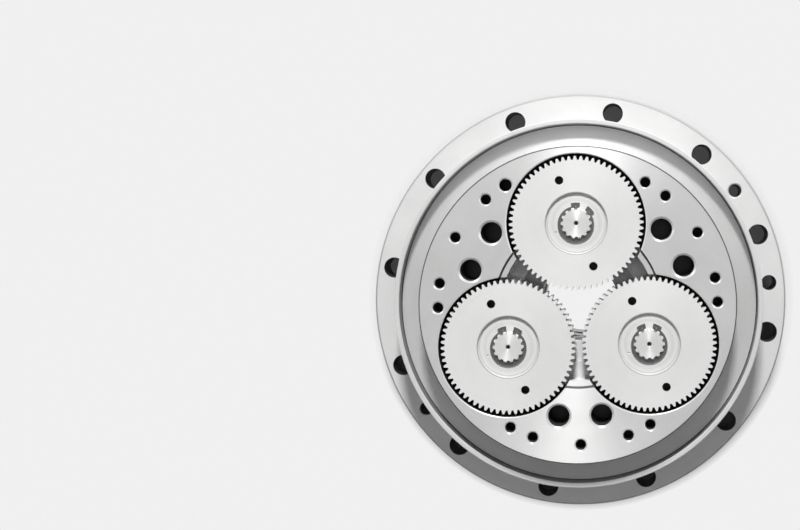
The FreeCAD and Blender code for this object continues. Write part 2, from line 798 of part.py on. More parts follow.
# The two discs are equal parts, turned half a turn from each other to balance the crankshafts.
cycloid_disc("cycloid_disc_lower", "", lower_disc_bottom, lower_disc_top)
cycloid_disc("cycloid_disc_upper", "-", upper_disc_bottom, upper_disc_top)


def spring_ring(name, low, thickness, inner_r, outer_r, shift, lug_r, gap, angle, x, y, ear_r=""):
    """A spring ring with a gap and two holed lugs. The shift thins the ring beside the gap.

    The lugs are round, or blunt ears that reach out to ear_r."""
    high = f"{low} + {thickness}"
    inner_shift, outer_shift = shift
    edges = []
    for edge, radius, away in (("outer", outer_r, outer_shift), ("inner", inner_r, inner_shift)):
        away_x, away_y = at(f"-({away})", angle)
        edges.append(cylinder(f"{name}_{edge}", radius, low, high, f"{x} + {away_x}", f"{y} + {away_y}"))
    lugs = []
    holes = []
    for side in ("-", "+"):
        lug_x, lug_y = at(lug_r, f"{angle} {side} {gap}")
        spot = f"{x} + {lug_x}", f"{y} + {lug_y}"
        tag = "a" if side == "-" else "b"
        if ear_r:
            ear = document.addObject("Part::Cylinder", f"{name}_lug_{tag}")
            bind(ear, Radius=ear_r, Height=thickness, Angle="circlip_lug_span")
            turn(ear, f"{angle} {side} {gap} - circlip_lug_span / 2")
            place(ear, x, y, low)
            lugs.append(cut(f"{name}_ear_{tag}", ear, edges[1]))
        else:
            lugs.append(cylinder(f"{name}_lug_{tag}", "lug_size / 2", low, high, *spot))
        holes.append(cylinder(f"{name}_hole_{tag}", "lug_hole_r", low, high, *spot))
    opening = document.addObject("Part::Cylinder", name + "_gap")
    bind(opening, Radius=f"2 * ({outer_r})", Height=thickness, Angle=gap)
    turn(opening, f"{angle} - {gap} / 2")
    place(opening, x, y, low)
    return cut(name, fuse(name + "_blank", cut(name + "_band", *edges), *lugs), opening, *holes)


def tapered_roller(name, middle, narrow_side, x, y, spread):
    """The rollers of one bearing, or, when they are made larger by spread, their pockets in the cage."""
    lean = number("roller_cone_angle")
    apex = number("roller_pitch_r") / math.sin(math.radians(lean))
    slope = math.tan(math.radians(number("roller_half_angle")))
    half = number("roller_length") / 2 + (number("cage_end") * 0.15 if spread else 0)
    radii = [(apex + end * half) * slope - number("roller_gap") + spread for end in (-1, 1)]
    count = int(number("rollers"))
    solids = []
    for index in range(count):
        angle = math.radians(360 / count * index)
        outward = FreeCAD.Vector(math.cos(angle), math.sin(angle), 0) * math.sin(math.radians(lean))
        direction = outward + FreeCAD.Vector(0, 0, -narrow_side * math.cos(math.radians(lean)))
        axis_middle = FreeCAD.Vector(math.cos(angle), math.sin(angle), 0) * number("roller_pitch_r")
        axis_middle += FreeCAD.Vector(number(x), number(y), number(middle))
        start = axis_middle - direction * half
        solids.append(Part.makeCone(radii[0], radii[1], 2 * half, start, direction))
    rollers = document.addObject("Part::Feature", name)
    rollers.Shape = Part.makeCompound(solids)
    return rollers


def crank_bearing(name, low, middle, narrow_side, x, y):
    """One tapered roller bearing: its inner ring, its outer ring, its rollers and its cage."""
    rise = f"({-narrow_side} * tan(roller_cone_angle - roller_half_angle))"
    spread = f"({-narrow_side} * tan(roller_cone_angle + roller_half_angle))"
    apex_height = "(roller_pitch_r / tan(roller_cone_angle))"
    cone_r = f"({apex_height} * tan(roller_cone_angle - roller_half_angle))"
    cup_inner_r = f"({apex_height} * tan(roller_cone_angle + roller_half_angle))"
    half = "(cone_width / 2)"
    inner = turned(
        f"{name}_cone",
        [
            ("crank_seat_r", f"{middle} - {half}"),
            (f"{cone_r} - {rise} * {half}", f"{middle} - {half}"),
            (f"{cone_r} + {rise} * {half}", f"{middle} + {half}"),
            ("crank_seat_r", f"{middle} + {half}"),
        ],
        x,
        y,
    )
    high = f"({low} + cup_width)"
    low_edge = f"{cup_inner_r} + {spread} * ({low} - {middle})"
    high_edge = f"{cup_inner_r} + {spread} * ({high} - {middle})"
    cup_outline = [("cup_r", low), (low_edge, low), (high_edge, high), ("cup_r", high)]
    outer = turned(f"{name}_cup", cup_outline, x, y)
    rollers = tapered_roller(f"{name}_rollers", middle, narrow_side, x, y, 0)
    half_cage = "(roller_length / 2 * cos(roller_cone_angle) + cage_end)"
    lean = f"({-narrow_side} * tan(roller_cone_angle))"
    cage_blank = turned(
        f"{name}_cage_blank",
        [
            (f"roller_pitch_r - {lean} * {half_cage} - cage_thickness / 2", f"{middle} - {half_cage}"),
            (f"roller_pitch_r - {lean} * {half_cage} + cage_thickness / 2", f"{middle} - {half_cage}"),
            (f"roller_pitch_r + {lean} * {half_cage} + cage_thickness / 2", f"{middle} + {half_cage}"),
            (f"roller_pitch_r + {lean} * {half_cage} - cage_thickness / 2", f"{middle} + {half_cage}"),
        ],
        x,
        y,
    )
    pockets = tapered_roller(f"{name}_pockets", middle, narrow_side, x, y, number("roller_gap"))
    return inner, outer, rollers, cut(f"{name}_cage", cage_blank, pockets)


def needle_bearing(name, low, high, x, y):
    """The needles on one eccentric and the cage between them."""
    middle = f"(({low} + {high}) / 2)"
    needles = []
    pockets = []
    for index in range(int(number("needles"))):
        needle_x, needle_y = at(needle_circle_r, f"{index} * 360 / needles")
        place_x, place_y = f"{x} + {needle_x}", f"{y} + {needle_y}"
        ends = (f"{middle} - needle_length / 2", f"{middle} + needle_length / 2")
        needles.append(cylinder(f"{name}_needle_{index}", "needle_r", *ends, place_x, place_y))
        room = (f"{ends[0]} - roller_gap", f"{ends[1]} + roller_gap")
        pockets.append(cylinder(f"{name}_pocket_{index}", "needle_r + roller_gap", *room, place_x, place_y))
    cage = ring(
        name + "_cage_blank",
        f"{needle_circle_r} - needle_cage_thickness / 2",
        f"{needle_circle_r} + needle_cage_thickness / 2",
        f"{middle} - needle_cage_length / 2",
        f"{middle} + needle_cage_length / 2",
        x,
        y,
    )
    return group(name + "_needles", needles), cut(name + "_cage", cage, group(name + "_pockets", pockets))


def involute(radius):
    """Half of a gear tooth's angle at a radius, for a tooth with involute flanks."""
    pitch_r = number("gear_module * gear_teeth / 2")
    pressure = math.radians(number("gear_pressure_angle"))
    base_r = pitch_r * math.cos(pressure)
    lean = math.acos(base_r / radius)
    half = 90 / number("gear_teeth") + math.degrees(math.tan(pressure) - pressure - math.tan(lean) + lean)
    return half - math.degrees(number("gear_backlash") / radius)


def spline_flank(gap):
    """The straight flank of the splines, moved out by a gap for the hub's own teeth."""
    root_r, tip_r = number("spline_root_r") + gap, number("spline_tip_r") + gap
    root_half = math.degrees((number("spline_root_width") / 2 + gap) / root_r)
    tip_half = math.degrees((number("spline_tip_width") / 2 + gap) / tip_r)
    return [(root_r, root_half), (tip_r, tip_half)]


gear_root_r = number("gear_module * (gear_teeth / 2 - 1.25)")
gear_pitch_r = number("gear_module * gear_teeth / 2")
gear_flank = [(radius, involute(radius)) for radius in (gear_root_r, gear_pitch_r, number(gear_tip_r))]
gear_outline = toothed_outline("gear_outline", int(number("gear_teeth")), gear_flank)
spline_outline = toothed_outline("spline_outline", int(number("spline_teeth")), spline_flank(0))
hub_flank = spline_flank(number("spline_gap"))
hub_outline = toothed_outline("hub_outline", int(number("spline_teeth")), hub_flank)

groove_r = "(spline_tip_r - circlip_groove_depth)"
hub_floor = f"({gear_top} - hub_recess_depth)"
lower_clip_bottom = f"({gear_bottom} - circlip_thickness)"
circlip_lug_r = f"({groove_r} + lug_size / 2 + 0.1)"
circlip_ear_r = f"({groove_r} + lug_size)"
circlip_turns = ("67", "84", "89")
snap_outer_r = "(cup_r + snap_ring_depth)"
snap_inner_r = f"({snap_outer_r} - snap_ring_width + snap_ring_shift)"
snap_ring_turns = ("50", "340", "5")


def crankshaft(index, x, y):
    """A shaft with two eccentrics half a turn apart and a splined end."""
    body = turned(
        f"crank_turned_{index}",
        [
            ("0", "crank_bottom"),
            ("crank_seat_r - crank_end_chamfer", "crank_bottom"),
            ("crank_seat_r", "crank_bottom + crank_end_chamfer"),
            ("crank_seat_r", lower_cone_top),
            ("crank_collar_r", lower_cone_top),
            ("crank_collar_r", upper_cone_bottom),
            ("crank_seat_r", upper_cone_bottom),
            ("crank_seat_r", f"{upper_cone_bottom} + cone_width"),
            ("crank_neck_r", f"{upper_cone_bottom} + cone_width"),
            ("crank_neck_r", f"{lower_clip_bottom} - 1"),
            ("0", f"{lower_clip_bottom} - 1"),
        ],
        x,
        y,
    )
    low, high = lower_disc_bottom, lower_disc_top
    lower = cylinder(f"eccentric_lower_{index}", "eccentric_r", low, high, f"{x} + eccentricity", y)
    low, high = upper_disc_bottom, upper_disc_top
    upper = cylinder(f"eccentric_upper_{index}", "eccentric_r", low, high, f"{x} - eccentricity", y)
    spline_bottom = f"{lower_clip_bottom} - 1"
    spline_length = f"crank_top - ({spline_bottom})"
    spline = extruded(f"spline_{index}", spline_outline, spline_length, x, y, spline_bottom)
    rounded_end = turned(
        f"spline_end_{index}",
        [
            ("0", spline_bottom),
            ("spline_tip_r + 1", spline_bottom),
            ("spline_tip_r + 1", "crank_top - spline_chamfer - 1"),
            ("spline_tip_r - spline_chamfer", "crank_top"),
            ("0", "crank_top"),
        ],
        x,
        y,
    )
    end = common(f"spline_cut_{index}", spline, rounded_end)
    blank = fuse(f"crank_blank_{index}", body, lower, upper, end)
    outer_r, clip_top = "spline_tip_r + 1", f"{hub_floor} + circlip_thickness"
    tools = [
        ring(f"lower_groove_{index}", groove_r, outer_r, lower_clip_bottom, gear_bottom, x, y),
        ring(f"upper_groove_{index}", groove_r, outer_r, hub_floor, clip_top, x, y),
    ]
    drill_r, low, high = "(centre_hole_r / 2)", "crank_top - centre_hole_depth", "crank_top"
    tools += drilled(f"top_centre_{index}", drill_r, low, high, drill_r, x, y)
    low, high = "crank_bottom", "crank_bottom + centre_hole_depth"
    tools.append(cylinder(f"low_centre_{index}", drill_r, low, high, x, y))
    high = f"{low} + {drill_r}"
    tools.append(cone(f"low_centre_mouth_{index}", "centre_hole_r", drill_r, low, high, x, y))
    return cut(f"crank_cut_{index}", blank, *tools)


def spur_gear(index, x, y):
    """A spur gear with a splined bore, a turned recess round its hub and two holes to pull it off by."""
    blank = extruded(f"gear_blank_{index}", gear_outline, "gear_thickness", x, y, gear_bottom)
    bore = extruded(f"gear_bore_{index}", hub_outline, "gear_thickness", x, y, gear_bottom)
    recess = turned(
        f"gear_recess_{index}",
        [
            ("0", hub_floor),
            ("hub_floor_r", hub_floor),
            ("hub_recess_r", f"{gear_top} - hub_recess_wall"),
            ("hub_recess_r", gear_top),
            ("0", gear_top),
        ],
        x,
        y,
    )
    tools = [bore, recess]
    for half in range(2):
        hole_x, hole_y = at("gear_hole_circle_r", f"gear_hole_turn + {half * 180}")
        spot = f"{x} + {hole_x}", f"{y} + {hole_y}"
        low = f"{gear_top} - gear_hole_depth"
        tools.append(cylinder(f"gear_hole_{index}_{half}", "gear_hole_r", low, gear_top, *spot))
    mark = document.addObject("Part::Sphere", f"timing_mark_{index}")
    mark_x, mark_y = at("timing_mark_circle_r", "timing_mark_turn")
    tools.append(place(bind(mark, Radius="timing_mark_r"), f"{x} + {mark_x}", f"{y} + {mark_y}", hub_floor))
    return cut(f"gear_cut_{index}", blank, *tools)


# Each crankshaft runs in one tapered roller bearing in each half of the carrier. Its eccentrics carry the
# discs on needles, and its gear sits on the splines between two circlips.
lower_cups, upper_cups, snap_rings = [], [], []
for index, (x, y) in enumerate(crank_places, 1):
    node(f"crankshaft_{index}", crankshaft(index, x, y))
    node(f"spur_gear_{index}", spur_gear(index, x, y))
    opening = circlip_turns[index - 1]
    clips = []
    for side, low in (("lower", lower_clip_bottom), ("upper", hub_floor)):
        shape = ("circlip_thickness", groove_r, "circlip_r", ("0", "circlip_offset"), circlip_lug_r)
        turns = "circlip_lug_turn", opening
        clips.append(spring_ring(f"{side}_clip_{index}", low, *shape, *turns, x, y, circlip_ear_r))
    node(f"gear_circlips_{index}", group(f"clips_{index}", clips))
    upper_cup_bottom = f"({upper_cone_bottom} + 1)"
    low_set = crank_bearing(f"low_bearing_{index}", lower_cup_bottom, lower_cone_middle, -1, x, y)
    top_set = crank_bearing(f"top_bearing_{index}", upper_cup_bottom, upper_cone_middle, 1, x, y)
    node(f"crank_inner_rings_{index}", group(f"cones_{index}", [low_set[0], top_set[0]]))
    node(f"taper_rollers_{index}", group(f"taper_rollers_{index}_group", [low_set[2], top_set[2]]))
    node(f"taper_cages_{index}", group(f"taper_cages_{index}_group", [low_set[3], top_set[3]]))
    lower_cups.append(low_set[1])
    upper_cups.append(top_set[1])
    for level, low, high, side in (
        ("lower", lower_disc_bottom, lower_disc_top, "+"),
        ("upper", upper_disc_bottom, upper_disc_top, "-"),
    ):
        needles, cage = needle_bearing(f"{level}_needles_{index}", low, high, f"{x} {side} eccentricity", y)
        node(f"needle_rollers_{level}_{index}", needles)
        node(f"needle_cage_{level}_{index}", cage)
    shape = ("snap_ring_thickness", snap_inner_r, snap_outer_r, ("-snap_ring_shift", "0"), snap_inner_r)
    opening = snap_ring_turns[index - 1]
    name = f"snap_ring_{index}"
    snap_rings.append(spring_ring(name, snap_ring_bottom, *shape, "snap_ring_lug_turn", opening, x, y))
node("crank_outer_rings_lower", group("lower_cup_group", lower_cups))
node("crank_outer_rings_upper", group("upper_cup_group", upper_cups))
node("snap_rings", group("snap_ring_group", snap_rings))

document.recompute()
for item in document.Objects:
    if "Invalid" in item.State or "Error" in item.State:
        raise RuntimeError(f"{item.Name} failed: {item.State}")
for item in nodes:
    if item.Shape.isNull() or not item.Shape.isValid():
        raise RuntimeError(f"{item.Label} has no valid shape")

os.makedirs("parts", exist_ok=True)
for item in nodes:
    item.Shape.exportStep(f"parts/{item.Label}.step")
    print(item.Label, len(item.Shape.Solids), round(item.Shape.Volume))
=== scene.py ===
import collections
import math

import bpy
import numpy as np
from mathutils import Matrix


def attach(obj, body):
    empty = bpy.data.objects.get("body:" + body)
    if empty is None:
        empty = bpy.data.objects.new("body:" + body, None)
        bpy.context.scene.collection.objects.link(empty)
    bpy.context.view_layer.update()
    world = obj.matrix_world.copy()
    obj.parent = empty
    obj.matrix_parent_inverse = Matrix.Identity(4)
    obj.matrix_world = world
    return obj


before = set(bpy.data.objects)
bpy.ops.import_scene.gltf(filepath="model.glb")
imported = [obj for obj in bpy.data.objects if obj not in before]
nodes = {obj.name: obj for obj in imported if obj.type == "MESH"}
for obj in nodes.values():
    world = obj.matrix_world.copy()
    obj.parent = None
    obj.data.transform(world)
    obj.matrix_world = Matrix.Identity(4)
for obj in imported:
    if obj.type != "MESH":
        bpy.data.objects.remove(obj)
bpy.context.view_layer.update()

# ---- The view
# The reducer lies with its gears up, and the camera hangs above it and a little towards its upper right.
# The frame is shifted to the left, because the reducer fills the right half of the picture.
MM = 0.001
view_height = 843 * MM
view_over = (32.2 * MM, 57.8 * MM)
view_roll = math.radians(-1.2)
picture_width = 800
picture_height = 530
focal_pixels = 1150
under_camera = (626, 214)

camera_data = bpy.data.cameras.new("camera")
camera_data.sensor_width = 36
camera_data.lens = camera_data.sensor_width * focal_pixels / picture_width
camera_data.shift_x = (picture_width / 2 - under_camera[0]) / picture_width
camera_data.shift_y = (under_camera[1] - picture_height / 2) / picture_width
camera = bpy.data.objects.new("camera", camera_data)
camera.location = (*view_over, view_height)
camera.rotation_euler = (0, 0, view_roll)
bpy.context.scene.collection.objects.link(camera)
bpy.context.scene.camera = camera
bpy.context.scene.view_settings.view_transform = "Standard"


# ---- The floor and the light
# The reducer lies on a pale sheet that curls up into a wall a few metres off. A broad soft light hangs
# overhead, and a smaller one stands at twelve o'clock, so that every step in the metal throws a soft edge of
# shade.
def lamp(name, place, aim, size, power):
    """A square soft lamp at a place, turned towards the point it lights."""
    light = bpy.data.lights.new(name, "AREA")
    light.shape = "SQUARE"
    light.size = size
    light.energy = power
    item = bpy.data.objects.new(name, light)
    item.location = place
    back = [a - b for a, b in zip(place, aim)]
    tilt = math.atan2(math.hypot(back[0], back[1]), back[2])
    item.rotation_euler = (tilt, 0, math.atan2(back[0], -back[1]))
    bpy.context.scene.collection.objects.link(item)


lamp("overhead", place=(0.0, 0.5, 1.9), aim=(0, 0.5, 0.05), size=1.8, power=3.4)
lamp("twelve_o_clock", place=(0.08, 2.32, 2.00), aim=(0, 0, 0.05), size=0.45, power=95)

world = bpy.data.worlds.new("studio")
bpy.context.scene.world = world
world.use_nodes = True
world.node_tree.nodes["Background"].inputs["Color"].default_value = (1, 1, 1, 1)
world.node_tree.nodes["Background"].inputs["Strength"].default_value = 0.10


class Value:
    """A number or a colour that varies over a surface: the output of a node."""

    def __init__(self, surface, socket):
        self.surface = surface
        self.socket = socket

    def combine(self, operation, first, second):
        """The outcome of a sum on two values or numbers."""
        return self.surface.node("ShaderNodeMath", {"operation": operation}, {0: first, 1: second})

    def also(self, output):
        """Another output of the node that this value comes from."""
        return Value(self.surface, self.socket.node.outputs[output])

    def most(self, other):
        """The larger of two values."""
        return self.combine("MAXIMUM", self, other)

    def __add__(self, other):
        return self.combine("ADD", self, other)

    def __sub__(self, other):
        return self.combine("SUBTRACT", self, other)

    def __rsub__(self, other):
        return self.combine("SUBTRACT", other, self)

    def __mul__(self, other):
        return self.combine("MULTIPLY", self, other)

    def __pow__(self, other):
        return self.combine("POWER", self, other)

    __radd__ = __add__
    __rmul__ = __mul__


class Surface:
    """A material in the making: the nodes that work out how a surface looks from place to place."""

    def __init__(self, name):
        self.material = bpy.data.materials.new(name)
        self.material.use_nodes = True
        self.tree = self.material.node_tree
        self.shader = self.tree.nodes["Principled BSDF"]
        self.place = self.node("ShaderNodeTexCoord", {}, {}, "Object")

    def node(self, kind, settings, inputs, output=0):
        """Adds one node with its settings and the values or links of its sockets."""
        item = self.tree.nodes.new(kind)
        for name, setting in settings.items():
            setattr(item, name, setting)
        for name, value in inputs.items():
            if isinstance(value, Value):
                self.tree.links.new(value.socket, item.inputs[name])
            else:
                item.inputs[name].default_value = value
        return Value(self, item.outputs[output])

    def feed(self, name, value):
        """Links a value to one of the shader's own sockets."""
        self.tree.links.new(value.socket, self.shader.inputs[name])

    def ramp(self, value, low, high, start=0.0, end=1.0):
        """Start at low and end at high, straight between them and held beyond them. Low may be the larger."""
        sockets = {0: value, 1: low, 2: high, 3: start, 4: end}
        return self.node("ShaderNodeMapRange", {"clamp": True}, sockets)


def closed_grid(rows, around):
    """The four sided faces of a grid of points whose rows close on themselves.

    Point i of row r has the number r * around + i, and a face joins points i and i + 1 of two rows that
    follow each other, where the last point of a row has the first as its neighbour."""
    row, step = np.meshgrid(np.arange(rows - 1) * around, np.arange(around), indexing="ij")
    beside = (step + 1) % around
    corners = [row + step, row + around + step, row + around + beside, row + beside]
    return np.stack(corners, axis=2).reshape(-1, 4)


def new_piece(name, points, faces):
    """A piece of its own, from points in metres and the numbers of the points of its faces."""
    mesh = bpy.data.meshes.new(name)
    mesh.from_pydata(points.tolist(), [], faces.tolist())
    piece = bpy.data.objects.new(name, mesh)
    bpy.context.scene.collection.objects.link(piece)
    return piece


# the sheet's profile, carried round an upright axis: level, then a quarter circle, then an upright wall
level_reach = 3.0
curl_radius = 0.8
wall_top = 3.0
sheet_sides = 96
curl = np.linspace(0, math.pi / 2, 9)
sheet_reach = np.concatenate([[0.0], level_reach + curl_radius * np.sin(curl), [level_reach + curl_radius]])
sheet_rise = np.concatenate([[0.0], curl_radius - curl_radius * np.cos(curl), [wall_top]])
sheet_turn = np.linspace(0, 2 * math.pi, sheet_sides, endpoint=False)
reach_there, turn_there = np.meshgrid(sheet_reach, sheet_turn, indexing="ij")
rise_there = np.meshgrid(sheet_rise, sheet_turn, indexing="ij")[0]
sheet_x = reach_there * np.cos(turn_there)
sheet_y = reach_there * np.sin(turn_there)
sheet_points = np.stack([sheet_x, sheet_y, rise_there], axis=2).reshape(-1, 3)
floor = new_piece("floor", sheet_points, closed_grid(len(sheet_reach), sheet_sides))

# The paper glows for the camera, so that it stays pale, but not where the reducer shades it.
# Right under the case the paper is painted dark, a painted shadow that shows through the flange's holes,
# and it is pale again in the middle, under the centre bore.
paper_grey = (0.871, 0.871, 0.871, 1)
paper_painted_shadow = 0.05
paper_pale = 0.80
shade_shift = (0.0014, 0.0026, 0)
bore_edge = (0.030, 0.040)
painted_shadow_edge = (0.1415, 0.1500)
glow_edge = (0.146, 0.156)

paper = Surface("floor_paper")
paper.shader.inputs["Roughness"].default_value = 1.0
paper.shader.inputs["Specular IOR Level"].default_value = 0.0
shifted = paper.node("ShaderNodeVectorMath", {"operation": "ADD"}, {0: paper.place, 1: shade_shift})
reach = paper.node("ShaderNodeVectorMath", {"operation": "LENGTH"}, {0: shifted}, "Value")
under_bore = paper.ramp(reach, *bore_edge, start=1.0, end=0.0)
camera_ray = paper.node("ShaderNodeLightPath", {}, {}, "Is Camera Ray")
seen = camera_ray.most(camera_ray.also("Is Glossy Ray")).most(camera_ray.also("Is Transmission Ray"))
glow_share = paper.ramp(reach, *glow_edge).most(under_bore) * seen
# painted shadow: the paper's colour goes from pale to dark under the case
outside_painted_shadow = paper.ramp(reach, *painted_shadow_edge).most(under_bore)
paper.feed("Base Color", paper.ramp(outside_painted_shadow, 0.0, 1.0, paper_painted_shadow, paper_pale))
dull_paper = Value(paper, paper.shader.outputs["BSDF"])
glowing_paper = paper.node("ShaderNodeEmission", {}, {"Color": paper_grey}, "Emission")
mixed_paper = paper.node("ShaderNodeMixShader", {}, {0: glow_share, 1: dull_paper, 2: glowing_paper})
paper.tree.links.new(mixed_paper.socket, paper.tree.nodes["Material Output"].inputs["Surface"])
floor.data.materials.append(paper.material)

# ---- The case
# A forged steel ring with a flange, turned all over on a lathe. Its faces keep the fine rings of the tool,
# and its outer edge and the corner of the trough carry a line of painted shade.
HoleRing = collections.namedtuple("HoleRing", "circle first step radius low high")
EdgeMark = collections.namedtuple("EdgeMark", "inner outer low high darkness")


class Finish(Surface):
    """The finish of one metal or plastic, with the patterns that its making left on it."""

    def __init__(self, name, metallic, roughness):
        super().__init__(name)
        self.shader.inputs["Metallic"].default_value = metallic
        self.shader.inputs["Roughness"].default_value = roughness

    def split(self, axis):
        """Distance from an upright axis and height, both in millimetres, and direction in degrees."""
        east = self.node("ShaderNodeSeparateXYZ", {}, {0: self.place}, "X")
        across = east - axis[0]
        along = east.also("Y") - axis[1]
        turn = along.combine("ARCTAN2", along, across) * math.degrees(1)
        return (across * across + along * along) ** 0.5 * (1 / MM), east.also("Z") * (1 / MM), turn

    def off_hole(self, radius, turn, ring):
        """Millimetres from the nearest hole axis of a ring of holes.

        It is the law of cosines, on the distance from the middle, the ring's radius and the angle between."""
        half = ring.step / 2
        folded = turn.combine("FLOORED_MODULO", turn - (ring.first - half), ring.step) - half
        cosine = folded.combine("COSINE", folded * math.radians(1), 0.0)
        return (radius * radius + ring.circle**2 - radius * cosine * (2 * ring.circle)) ** 0.5

    def between(self, value, low, high, soft):
        """1 from low to high and 0 outside them, with a soft step at each."""
        return self.ramp(value, low - soft, low + soft) * self.ramp(value, high + soft, high - soft)

    def noise(self, scale, detail=3, roughness=0.55, place=None):
        """Cloudy variation from 0 to 1 with a grain of about 1 / scale metres."""
        sockets = {"Vector": place or self.place, "Scale": scale, "Detail": detail, "Roughness": roughness}
        return self.node("ShaderNodeTexNoise", {}, sockets, "Fac")

    def blend(self, share, first, second):
        """One colour passing into another as share goes from 0 to 1."""
        first, second = [value if isinstance(value, Value) else (*value, 1) for value in (first, second)]
        factor, colour_a, colour_b, colour_out = 0, 6, 7, 2
        sockets = {factor: share, colour_a: first, colour_b: second}
        return self.node("ShaderNodeMix", {"data_type": "RGBA"}, sockets, colour_out)

    def bump(self, height, depth):
        """Raises the surface by height times depth in metres."""
        sockets = {"Height": height, "Distance": depth, "Strength": 1.0}
        self.feed("Normal", self.node("ShaderNodeBump", {}, sockets, "Normal"))


def wear(finish, *node_names):
    """Puts a finish on nodes."""
    for name in node_names:
        mesh = nodes[name].data
        mesh.materials.clear()
        mesh.materials.append(finish.material)


def turned_steel(name, light, dark, axis=(0, 0), roughness=0.36, metallic=0.4, ring_width=0.35, streak=0.8,
                 holes=(), marks=(), painted_shade=(0.018, 0.018, 0.019), open_middle=0):
    """Lathe turned steel: fine rings about an axis, a faint cloud in its tone, and painted shade in holes.

    The rings stretch a reflection across them, by the amount of streak. Upright walls are cut finer than
    faces, and mirror more, and their colour is pulled towards a darker grey as painted shade. Each hole
    ring is painted dark from its low to its high, as painted shade, apart from what lies within the open
    middle, where light gets in, and each mark is a darker ring, most of them painted shade along an edge
    or in a corner. All these sizes are in millimetres and degrees."""
    wall_shade_tone, wall_shade_share, wall_metallic = (0.50, 0.50, 0.505), 0.55, 0.8
    rim_soft = 0.3
    finish = Finish(name, metallic, roughness)
    finish.shader.inputs["Anisotropic"].default_value = streak
    finish.shader.inputs["Anisotropic Rotation"].default_value = 0.25

    radius, height, turn = finish.split(axis)
    track = finish.node("ShaderNodeCombineXYZ", {}, {0: radius, 1: height, 2: 0.0})
    rings = finish.noise(scale=1 / ring_width, detail=4, roughness=0.7, place=track)
    bands = finish.noise(scale=0.06, detail=2, roughness=0.5, place=track)
    cloud = finish.noise(scale=26, detail=3, roughness=0.6)
    grain = finish.noise(scale=2600, detail=2, roughness=0.6)
    tone = cloud * 0.45 + bands * 0.25 + rings * 0.2 + grain * 0.1
    colour = finish.blend(finish.ramp(tone, 0.35, 0.65), dark, light)

    normal = finish.node("ShaderNodeTexCoord", {}, {}, "Normal")
    facing_up = finish.node("ShaderNodeSeparateXYZ", {}, {0: normal}, "Z")
    upright = finish.ramp(facing_up * facing_up, 0.3, 0.1)
    # painted shade: upright walls are coloured darker than faces
    colour = finish.blend(upright * wall_shade_share, colour, wall_shade_tone)
    shine = metallic
    if metallic < wall_metallic:
        shine = upright * (wall_metallic - metallic) + metallic

    # each mark paints a darker ring, mostly painted shade at an edge or in a corner
    for mark in marks:
        ring = finish.between(radius, mark.inner, mark.outer, soft=0.1)
        ring = ring * finish.between(height, mark.low, mark.high, soft=0.05)
        colour = finish.blend(ring * mark.darkness, colour, painted_shade)
    # painted shade on the walls of the holes
    if holes:
        wall = 0.0
        for ring in holes:
            near = finish.ramp(finish.off_hole(radius, turn, ring), ring.radius + 0.25, ring.radius + 0.05)
            below_rim = finish.ramp(height, ring.high, ring.high - rim_soft)
            above_end = finish.ramp(height, ring.low, ring.low + rim_soft)
            wall = (near * (below_rim * above_end)).most(wall)
        if open_middle:
            wall = wall * finish.ramp(radius, open_middle, open_middle + 0.5)
        colour = finish.blend(wall, colour, painted_shade)
        shine = shine * (1 - wall)

    if isinstance(shine, Value):
        finish.feed("Metallic", shine)
    finish.feed("Base Color", colour)
    finish.feed("Roughness", roughness - 0.08 + rings * 0.08 + grain * 0.08)
    finish.bump(rings + grain * 0.1, 4e-6)
    return finish


flange_circle = 129
in_flange = {"low": 35, "high": 58.4}
jack_turn = 34
# the walls of these holes are painted dark, as painted shade
bolt_holes = HoleRing(flange_circle, first=19, step=30, radius=6.75, **in_flange)
jack_holes = HoleRing(flange_circle, first=jack_turn, step=180, radius=4.25, **in_flange)
dowel_hole = HoleRing(flange_circle, first=4, step=360, radius=5, **in_flange)
# rings of painted shade on the flange's outer edge and in the corner of the trough
flange_edge = EdgeMark(inner=138.8, outer=141, low=35, high=60, darkness=0.45)
trough_corner = EdgeMark(inner=117.2, outer=118.1, low=74, high=89, darkness=0.5)
case_steel = turned_steel(
    "case_steel",
    light=(0.80, 0.80, 0.795),
    dark=(0.70, 0.70, 0.695),
    roughness=0.68,
    metallic=0.14,
    streak=0.5,
    holes=(bolt_holes, jack_holes, dowel_hole),
    marks=(flange_edge, trough_corner),
)
wear(case_steel, "case")


# ---- The jack screw threads
# Two M10 threads in the flange, cut by a tap, by which the case is pushed off what it is bolted to. The
# ridges stand a little prouder of the drilled wall than a tap leaves them, and fade out over the last half
# turn at each end.
def tapped_thread(name, places, wall, crest, pitch, low, high, steps=24):
    """The ridge of a tapped thread in each of several upright holes, as one mesh of closed bars.

    With a as the angle along the helix, a point lies at height low + pitch * (a / full turn + s), where s is
    its share of the pitch, and at the wall's radius on the ridge's two feet or at the crest's radius on its
    top. Near the two ends the top sinks back into the wall as a straight ramp over half a turn."""
    share = np.array([0.06, 0.36, 0.60, 0.90])
    rise = np.array([0.0, 1.0, 1.0, 0.0])
    ramp_turns, least_rise = 0.5, 0.02
    turns = (high - low) / pitch - share[-1]
    along = np.linspace(0, turns, int(turns * steps) + 1)
    fade = np.clip(np.minimum(along, turns - along) / ramp_turns, least_rise, 1)
    radius = wall - (wall - crest) * rise[None, :] * fade[:, None]
    angle = 2 * math.pi * along[:, None]
    height = low + pitch * (along[:, None] + share[None, :])
    bar = np.stack([radius * np.cos(angle), radius * np.sin(angle), height], axis=2).reshape(-1, 3)
    first_end = np.arange(len(share))
    last_end = len(bar) - 1 - first_end
    faces = np.concatenate([closed_grid(len(along), len(share)), [first_end, last_end]])
    points = np.concatenate([bar + [x, y, 0] for x, y in places]) * MM
    return new_piece(name, points, np.concatenate([faces + index * len(bar) for index in range(len(places))]))


def round_circle(radius, turns):
    """Places on a circle about the reducer's axis, from directions in degrees."""
    return [(radius * math.cos(math.radians(turn)), radius * math.sin(math.radians(turn))) for turn in turns]
